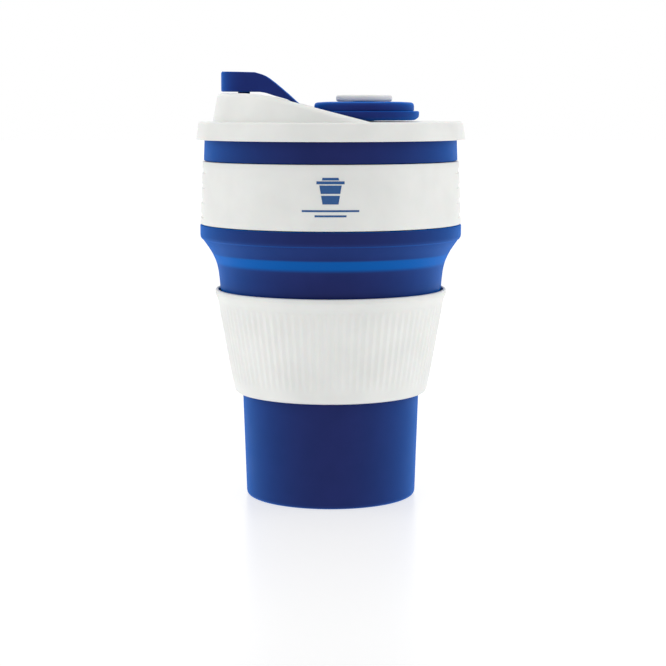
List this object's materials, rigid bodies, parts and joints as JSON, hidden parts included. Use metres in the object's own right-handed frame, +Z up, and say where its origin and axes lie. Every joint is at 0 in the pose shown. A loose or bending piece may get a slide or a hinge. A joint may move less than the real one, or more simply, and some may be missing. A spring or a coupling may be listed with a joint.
{
  "type": "collapsible travel cup",
  "caption": "Travel cup with a folding silicone body, white grip band, ribbed heat sleeve and a press-on spout lid closed by a strap stopper.",
  "frame": {"origin": "centre of the foot, on the plane that the cup stands on", "axes": "+Z up along the cup's axis, -X towards the drinking spout, +X towards the button that holds the strap"},
  "size_m": [0.09, 0.09, 0.143],
  "materials": {
    "silicone_blue": "satin moulded silicone",
    "stopper_silicone": "satin moulded silicone",
    "polypropylene_white": "satin moulded polypropylene"
  },
  "bodies": {
    "base": {"base_cup": "silicone_blue"},
    "middle": {"lower_fold": "silicone_blue", "middle_ring": "silicone_blue"},
    "upper": {"upper_fold": "silicone_blue", "upper_wall": "silicone_blue", "collar_band": "polypropylene_white"},
    "sleeve": {"heat_sleeve": "polypropylene_white"},
    "lid": {"lid_shell": "polypropylene_white", "seat_flange": "stopper_silicone", "strap_disc": "stopper_silicone", "button": "polypropylene_white", "retaining_washer": "polypropylene_white"},
    "stopper": {"stopper_head": "stopper_silicone", "stopper_strap": "stopper_silicone"}
  },
  "joints": [
    {"name": "fold_lower", "type": "slide", "parent": "base", "child": "middle", "axis": [0, 0, 1], "range_m": [-0.035, 0], "deforming": ["lower_fold"]},
    {"name": "fold_upper", "type": "slide", "parent": "middle", "child": "upper", "axis": [0, 0, 1], "range_m": [-0.02, 0], "deforming": ["upper_fold"]},
    {"name": "sleeve_slide", "type": "slide", "parent": "middle", "child": "sleeve", "axis": [0, 0, -1], "range_m": [0, 0.035]},
    {"name": "lid_lift", "type": "slide", "parent": "upper", "child": "lid", "axis": [0, 0, 1], "range_m": [0, 0.04]},
    {"name": "stopper_flip", "type": "hinge", "parent": "lid", "child": "stopper", "pos_m": [-0.0085, 0, 0.1303], "axis": [0, 1, 0], "range_deg": [0, 100]}
  ]
}
